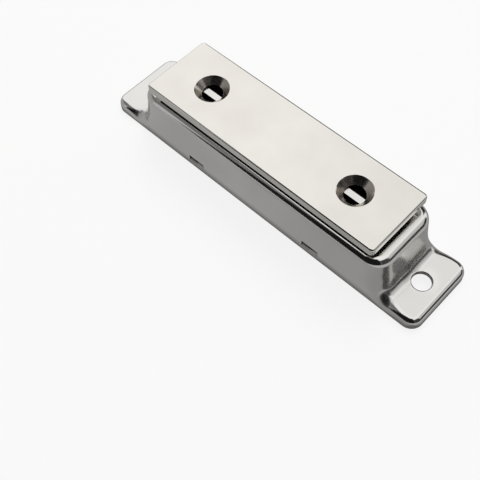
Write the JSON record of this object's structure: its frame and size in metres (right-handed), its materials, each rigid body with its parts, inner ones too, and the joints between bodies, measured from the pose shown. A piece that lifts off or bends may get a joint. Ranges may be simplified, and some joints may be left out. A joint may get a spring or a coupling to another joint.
{
  "type": "magnetic catch",
  "caption": "Surface-mounted magnetic catch: drawn stainless housing with screw ears, magnet pack with plated pole plates, and a countersunk steel strike plate.",
  "frame": {"origin": "middle of the mounting face, in the plane where the housing's rim meets the cabinet", "axes": "+X along the catch from ear to ear, +Y across it, +Z out of the mounting face towards the strike plate"},
  "size_m": [0.086, 0.0182, 0.0162],
  "materials": {
    "housing": "bright-rolled austenitic stainless sheet, drawn and polished",
    "strike": "mild steel plate, tumbled and satin nickel plated",
    "pole": "mild steel strip, nickel plated",
    "magnet": "sintered ferrite, ground pole faces",
    "insulator": "black moulded plastic"
  },
  "bodies": {
    "catch": {"housing": "housing", "retaining_plate": "insulator", "pole_plate_near": "pole", "pole_plate_centre": "pole", "pole_plate_far": "pole", "magnet_near_left": "magnet", "magnet_near_right": "magnet", "magnet_far_left": "magnet", "magnet_far_right": "magnet"},
    "strike": {"strike_plate": "strike"}
  },
  "joints": [
    {"name": "strike_pull", "type": "slide", "parent": "catch", "child": "strike", "axis": [0, 0, 1], "range_m": [0, 0.03]}
  ]
}
